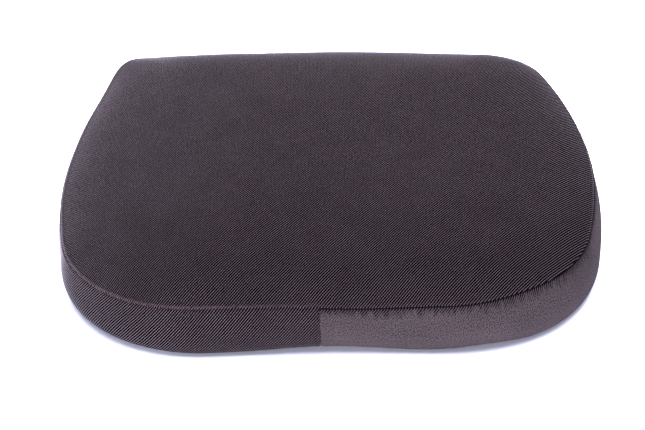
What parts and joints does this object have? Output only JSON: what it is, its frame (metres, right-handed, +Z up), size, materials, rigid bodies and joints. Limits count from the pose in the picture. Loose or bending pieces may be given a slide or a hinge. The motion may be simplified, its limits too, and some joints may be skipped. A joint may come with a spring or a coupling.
{
  "type": "seat cushion",
  "caption": "Thick rectangular foam seat cushion with rounded corners, a crowned twill top, a side band and a zipped removable cover.",
  "frame": {"origin": "centre of the base, on the surface that the cushion rests on", "axes": "+X to the sitter's right with the front edge towards -Y, +Y towards the back and its zip, +Z up"},
  "size_m": [0.45, 0.4, 0.07],
  "materials": {
    "foam": "open-cell moulded foam",
    "liner_knit": "thin dark knit",
    "twill_cloth": "coarse dark twill",
    "plain_cloth": "matt brushed cloth",
    "base_cloth": "matt cloth with raised grip dots",
    "zip_tape": "woven tape",
    "zip_nylon": "satin moulded nylon",
    "zip_metal": "dark lacquered zinc"
  },
  "bodies": {
    "cushion": {"foam_core": "foam", "inner_liner": "liner_knit", "top_panel": "twill_cloth", "left_band": "twill_cloth", "right_band": "plain_cloth", "back_band_upper": "plain_cloth", "back_band_lower": "plain_cloth", "bottom_panel": "base_cloth", "zip_tape_upper": "zip_tape", "zip_tape_lower": "zip_tape", "zip_coil_upper": "zip_nylon", "zip_coil_lower": "zip_nylon", "zip_top_stops": "zip_metal", "zip_bottom_stop": "zip_metal"},
    "slider": {"zip_slider": "zip_metal"},
    "pull_tab": {"zip_pull_tab": "zip_metal"}
  },
  "joints": [
    {"name": "zip_slide", "type": "slide", "parent": "cushion", "child": "slider", "axis": [-1, 0, 0], "range_m": [0, 0.212]},
    {"name": "pull_tab_hinge", "type": "hinge", "parent": "slider", "child": "pull_tab", "pos_m": [0.106, 0.19875, 0.016], "axis": [0, 0, -1], "range_deg": [0, 175]}
  ]
}
